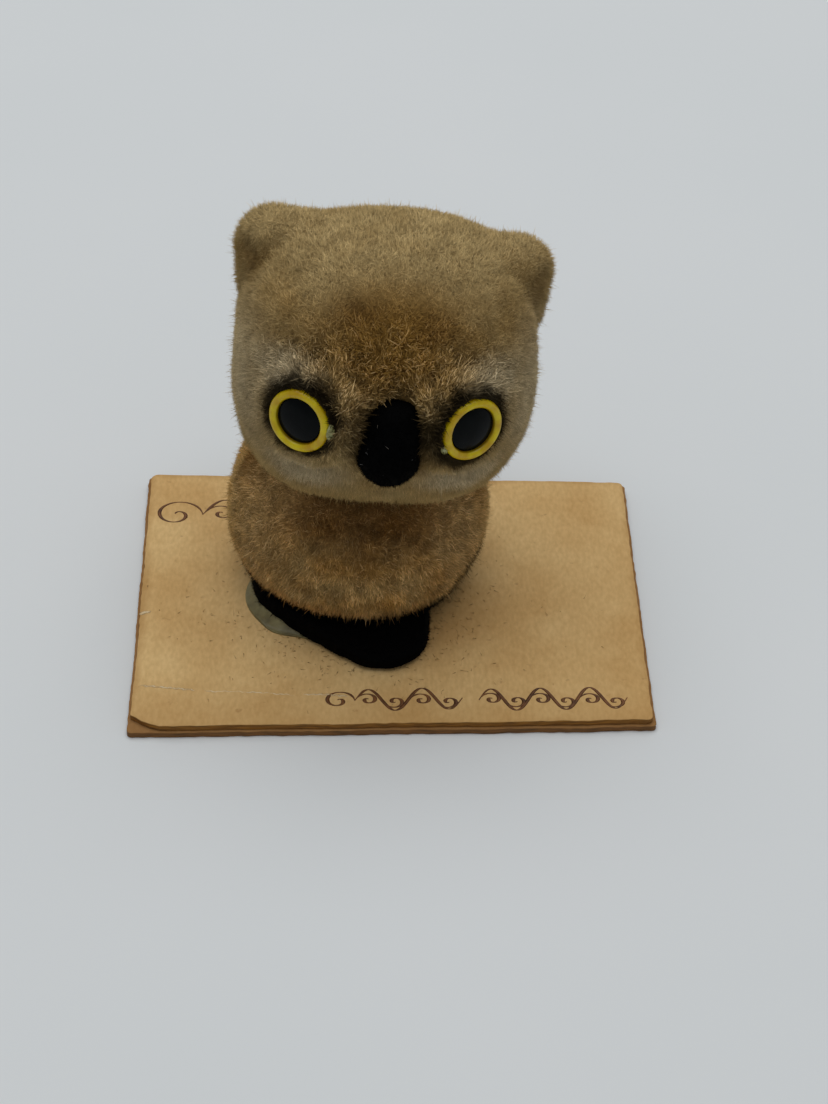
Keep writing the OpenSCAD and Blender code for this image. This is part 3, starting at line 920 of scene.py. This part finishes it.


# %% [markdown]
# Old pulp board is matt and faintly fibrous. Acid has tanned it unevenly, foxing has left brown
# specks half a millimetre wide, and the cut edge is painted darker, partly as painted shade. The
# lower ply is unprinted and browner. Both read the edge wear and painted shade that the mesh carries.

# %% Card materials
def board_material(name, pale, tanned, browned, cut):
    """Aged pulp board: mottled by age, browned by the edge and by the painted shade carried in its
    tone, specked, and dark on its cut sides, partly as painted shade.
    """
    material, tree, shader = new_material(name, Roughness=0.82, IOR=1.46)
    shader.inputs["Specular IOR Level"].default_value = 0.3
    colour = ramp(tree, grain(tree, 9, 4).outputs["Fac"], (0.35, pale), (0.68, tanned))
    fibre = ramp(tree, grain(tree, 0.35, 5, (1, 0.45, 1)).outputs["Fac"], (0.3, "#e9e4da"), (0.7, "#ffffff"))
    colour = blend(tree, "MULTIPLY", 0.8, colour, fibre)
    specks = ramp(tree, grain(tree, 1.1, 2).outputs["Fac"], (0.70, "#000000"), (0.78, "#9a9a9a"))
    colour = blend(tree, "MIX", specks, colour, rgba("#8d5f33"))
    wear_and_shade = add(tree, "Attribute", attribute_name="tone")
    colour = blend(tree, "MIX", ramp(tree, wear_and_shade.outputs["Fac"], (0.15, "#000000"), (1.0, "#b4b4b4")),
                   colour, rgba(browned))
    # The cut sides, found by their normal, take a dark layered colour that is partly painted shade.
    facing = add(tree, "SeparateXYZ", {"Vector": add(tree, "TexCoord").outputs["Normal"]})
    upward = ramp(tree, facing.outputs["Z"], (0.25, "#ffffff"), (0.8, "#000000"))
    layers = ramp(tree, grain(tree, 0.5, 3, (0.3, 0.3, 3)).outputs["Fac"], (0.3, cut), (0.7, browned))
    colour = blend(tree, "MIX", upward, colour, layers)
    tree.links.new(colour, shader.inputs["Base Color"])
    bump(tree, shader, grain(tree, 0.4, 4).outputs["Fac"], 0.02)
    return material


face_board = board_material("pulp_board_aged_face", "#ecc78a", "#dcb274", "#a06c2a", "#6d4a22")
back_board = board_material("pulp_board_aged_backing", "#b58c58", "#a37947", "#8c5f33", "#63472a")
BACKING_TOP = 1000 * float(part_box("card_backing")[1].z)
ply("card_lower_ply", card_outline(0, 0.5, False), 0.0, BACKING_TOP, back_board,
    ["card_backing"], 0.3)
ply("card_upper_ply", card_outline(0.3, 0.7, True), BACKING_TOP, CARD_TOP, face_board,
    ["card_face"], 1.0)

# %% [markdown]
# The card is printed in brown at two corners. Here that is a vine scroll, which spells nothing: a
# waved stem with a curl in every bend, thick on its down strokes as a flexible nib makes it. Each
# pen line is a diamond section carried along a curve that lies on the card.

# %% Printed flourishes
ink, tree, shader = new_material("printing_ink_brown", Roughness=0.6, IOR=1.5)
faded = ramp(tree, grain(tree, 0.8).outputs["Fac"], (0.3, "#55300e"), (0.75, "#875426"))
tree.links.new(faded, shader.inputs["Base Color"])


def pen_line(line, finest=0.07):
    """Rings of one pen line: it is widest on strokes that run down, and both ends run out thin."""
    ahead = unit(np.gradient(line, axis=0))
    across = np.stack([-ahead[:, 1], ahead[:, 0]], 1)
    run = np.linspace(0, 1, len(line))
    ends = step(run, 0, 0.1) * (1 - step(run, 0.85, 1))
    half = (finest + 0.13 * np.abs(ahead[:, 1]) ** 1.5) * (0.3 + 0.7 * ends)
    z = CARD_TOP + card_rise(line)
    offsets = ((1, 0.004), (0, 0.022), (-1, 0.004), (0, -0.02))
    return np.stack([np.concatenate([line + k * half[:, None] * across, (z + h)[:, None]], 1)
                     for k, h in offsets], 1)


def flourish(name, lines, material):
    """Several pen lines as one piece: each one's faces count on from the points before it."""
    points, faces, first = [], [], 0
    for rings in map(pen_line, lines):
        points.append(closed(rings))
        faces += [f + first for f in round_faces(len(rings), 4)]
        first += len(points[-1])
    make_piece(name, np.concatenate(points), faces, material)


def stem(start, length, waves, height):
    """A vine's stem: y = height / 2 * sin of the waves along x, with a slight rise."""
    t = np.linspace(0, 1, 90 * waves)
    return np.array(start) + np.stack([length * t, height / 2 * np.sin(2 * np.pi * waves * t) + 0.4 * t], 1)


def tendril(at, size, turns, way, first):
    """A curl that leaves the stem and winds in: radius = size * (1 - t) as the angle runs on."""
    t = np.linspace(0, 0.93, int(90 * turns))
    spin = np.radians(first) + way * 2 * np.pi * turns * t
    hub = np.array(at) - size * np.array([math.cos(math.radians(first)), 0.9 * math.sin(math.radians(first))])
    return hub + size * (1 - t)[:, None] * np.stack([np.cos(spin), 0.9 * np.sin(spin)], 1)


def vine(start, length, waves, height):
    """A stem with a curl in every bend, to either side in turn."""
    pitch = length / (2 * waves)
    lines = [stem(start, length, waves, height)]
    for i in range(2 * waves):
        way = 1 if i % 2 == 0 else -1
        at = (start[0] + pitch * (i + 0.12), start[1] + 0.15 * way * height)
        lines.append(tendril(at, 0.34 * height, 1.35, -way, 180 - 20 * way))
    return lines


front_start, back_start = (-3.6, -15.7), (-19.4, 12.6)
front_lines = vine(front_start, 10.4, 2, 3.0) + [tendril(front_start, 1.6, 1.4, 1, 0)]
back_lines = vine(back_start, 9.0, 1, 4.6) + [tendril(back_start, 2.7, 1.5, 1, 0)]
flourish("flourish_front_first", front_lines, ink)
flourish("flourish_front_second", vine((8.4, -15.6), 14.4, 3, 3.0), ink)
flourish("flourish_back", back_lines, ink)

# %% Scuffs across the front of the card
bared, tree, shader = new_material("pulp_board_scuffed", Roughness=0.9, IOR=1.46)
fresh = ramp(tree, grain(tree, 0.7).outputs["Fac"], (0.35, "#d8b682"), (0.65, "#f0d8ac"))
tree.links.new(fresh, shader.inputs["Base Color"])


def scuff(start, end, bend):
    """A scratch from start to end, with a slow bend and a slight shake."""
    t = np.linspace(0, 1, 160)
    shake = 0.05 * np.sin(37 * t) + 0.04 * np.sin(83 * t + 1)
    x = start[0] + (end[0] - start[0]) * t
    return np.stack([x, start[1] + (end[1] - start[1]) * t + bend * np.sin(np.pi * t) + shake], 1)


scuffs = [scuff((-24.4, -13.6), (-19.0, -14.3), 0.0), scuff((-18.2, -14.4), (-9.4, -14.9), 0.15),
          scuff((-8.6, -14.8), (-4.2, -15.1), 0.1), scuff((-25.0, -3.2), (-24.0, -2.8), 0.1)]
flourish("card_scuffs", scuffs, bared)

# %% [markdown]
# Clear household cement holds the foot. It dried to a thin skin under the foot and to a lumpy
# grey-green bead at the left, with flock and dust in it. It is a low mound in one mesh: the film
# follows the foot's plan and the bead rises where it was squeezed out.

# %% Cement under and beside the foot
cement, tree, shader = new_material("household_cement_dried", Roughness=0.38, IOR=1.47,
                                    Transmission_Weight=0.25)
cloudy = ramp(tree, grain(tree, 1.8, 4).outputs["Fac"], (0.3, "#6b6038"), (0.7, "#a59a66"))
tree.links.new(cloudy, shader.inputs["Base Color"])
bump(tree, shader, grain(tree, 0.7).outputs["Fac"], 0.08)

BEAD_AT, BEAD_R, BEAD_H = np.array([-8.2, -0.3]), 6.5, 1.25
film = np.max([reach(foot_rays, b[:2], b[2] - 1.0) for b in foot_balls], axis=0)
bead_reach = reach(foot_rays, BEAD_AT - foot_centre, BEAD_R)
outline_reach = joined(film, bead_reach, 1.0)
outline_reach += 0.3 * noise(np.pad(foot_rays * 8, ((0, 0), (0, 1))), 2.5, 121)
steps_in = np.concatenate([[0.5, 1.0, 1.0], np.linspace(0.99, 0.80, 12), np.linspace(0.75, 0.05, 8)])
cement_xy = foot_centre + steps_in[:, None, None] * outline_reach[:, None] * foot_rays
inside = BEAD_R - np.linalg.norm(cement_xy - BEAD_AT, axis=-1)
cement_z = CARD_TOP + 0.2 + (BEAD_H - 0.2) * step(inside, 0.0, 1.6)
cement_grid = np.concatenate([cement_xy, cement_z[..., None]], -1)
cement_grid[..., 2] += 0.18 * noise(cement_grid, 1.7, 122) * step(inside, 0.0, 1.0)
cement_grid[:2, :, 2] = CARD_TOP - 0.02
make_piece("cement_bead", closed(cement_grid), round_faces(*cement_grid.shape[:2]), cement,
           None, ["card_cement"])

# %% [markdown]
# Loose flock drops from the coat and stays on the card, most of it near the foot. A little pale
# lint clings to the velvet of the nose. Both are the same spikes as the pile, laid flat.

# %% Shed fibres and lint
rng = np.random.default_rng(131)
count = 900
where = rng.random(count) * 2 * np.pi
spread = 7.5 + 4.0 * rng.gamma(1.2, 0.7, count)
aside = np.stack([np.cos(where), 0.85 * np.sin(where)], 1)
xy = foot_centre + np.array([1.0, -0.5]) + spread[:, None] * aside
xy = xy[edge_distance(xy) > 0.8]
roots = np.concatenate([xy, (CARD_TOP + card_rise(xy) + 0.05)[:, None]], 1)
flat = unit(rng.normal(size=roots.shape) * (1, 1, 0.05))
tone = mix(TAN, BROWN, rng.random(len(roots)))
fibres("shed_flock", roots, flat, tone, tan_flock, 0.55, 0.055, 0.0, np.zeros(3), 132)

roots, normals = strew(nose_grid[:40], 0.16, 133)
facing = normals[:, 1] < -0.2
roots, normals = roots[facing] + 0.3 * normals[facing], normals[facing]
flat = unit(np.cross(normals, rng.normal(size=roots.shape)))
fibres("nose_lint", roots, flat, np.broadcast_to(linear("#8f9296"), roots.shape), tan_flock,
       0.5, 0.05, 0.0, np.zeros(3), 134)

# %% [markdown]
# The mouldings under the flock stay as the part's own solids. They are high-impact styrene: the
# shells and ears are cream, the foot, the plug and the nose are black. The pin at the neck is a
# birch dowel, with its grain along its length.

# %% Materials of the solids inside
def styrene_material(name, light, dark):
    """Moulded styrene: nearly even in colour, with faint flow marks and a fine satin skin."""
    material, tree, shader = new_material(name, Roughness=0.42, IOR=1.59)
    flow = ramp(tree, grain(tree, 5, 3, (1, 1, 0.3)).outputs["Fac"], (0.3, dark), (0.7, light))
    tree.links.new(flow, shader.inputs["Base Color"])
    bump(tree, shader, grain(tree, 0.3).outputs["Fac"], 0.01)
    return material


cream = styrene_material("styrene_moulded_cream", "#d2cab6", "#c6bda7")
jet = styrene_material("styrene_moulded_jet", "#1b1816", "#12100f")
birch, tree, shader = new_material("birch_dowel_turned", Roughness=0.6, IOR=1.5)
rings = ramp(tree, grain(tree, 0.8, 4, (1, 1, 0.08)).outputs["Fac"], (0.3, "#b08a58"), (0.7, "#d3b483"))
tree.links.new(rings, shader.inputs["Base Color"])
inner_nodes = {"body_shell_front": cream, "body_shell_rear": cream, "head_shell_front": cream,
               "head_shell_rear": cream, "ear_left": cream, "ear_right": cream, "foot": jet,
               "base_plug": jet, "nose": jet, "neck_dowel": birch}
for node, material in inner_nodes.items():
    frame["nodes"][node].data.materials.clear()
    frame["nodes"][node].data.materials.append(material)
print("solids with a new finish:", len(inner_nodes))

# %% [markdown]
# The table is a plain pale board under a large soft lamp, a little behind the owl. Most of the
# light on its front has bounced off the table. The sky is even and dim, so the shadow under the
# chin and beside the foot stays soft.

# %% Floor, lamp and sky
floor_mesh = bpy.data.meshes.new("floor")
floor_mesh.from_pydata([(-2, -2, 0), (2, -2, 0), (2, 2, 0), (-2, 2, 0)], [], [(0, 1, 2, 3)])
floor = bpy.data.objects.new("floor", floor_mesh)
bpy.context.scene.collection.objects.link(floor)
table, tree, shader = new_material("table_pale_lacquer", Roughness=0.6, IOR=1.45)
shader.inputs["Specular IOR Level"].default_value = 0.2
even = ramp(tree, grain(tree, 60).outputs["Fac"], (0.3, "#e5e8e8"), (0.7, "#e8eaea"))
tree.links.new(even, shader.inputs["Base Color"])
floor_mesh.materials.append(table)


def lamp(name, watts, size, at, target, colour):
    """A soft square lamp of the given size in metres, turned to face its target."""
    data = bpy.data.lights.new(name, "AREA")
    data.energy, data.size, data.color = watts, size, linear(colour)
    thing = bpy.data.objects.new(name, data)
    bpy.context.scene.collection.objects.link(thing)
    away = unit(np.array(at, float) - np.array(target, float))
    level_axis = unit(np.cross([0.0, 1.0, 0.001], away))
    placing = np.eye(4)
    placing[:3] = np.stack([level_axis, np.cross(away, level_axis), away, at], 1)
    thing.matrix_world = Matrix(placing.tolist())


lamp("overhead_softbox", 3.6, 0.9, (-0.02, 0.18, 0.75), (0, 0, 0.02), "#fdfeff")
world = bpy.data.worlds.new("room")
world.use_nodes = True
room_light = next(n for n in world.node_tree.nodes if n.type == "BACKGROUND")
room_light.inputs["Color"].default_value = rgba("#f2f6fa")
room_light.inputs["Strength"].default_value = 0.34
bpy.context.scene.world = world
bpy.context.scene.view_settings.view_transform = "Standard"
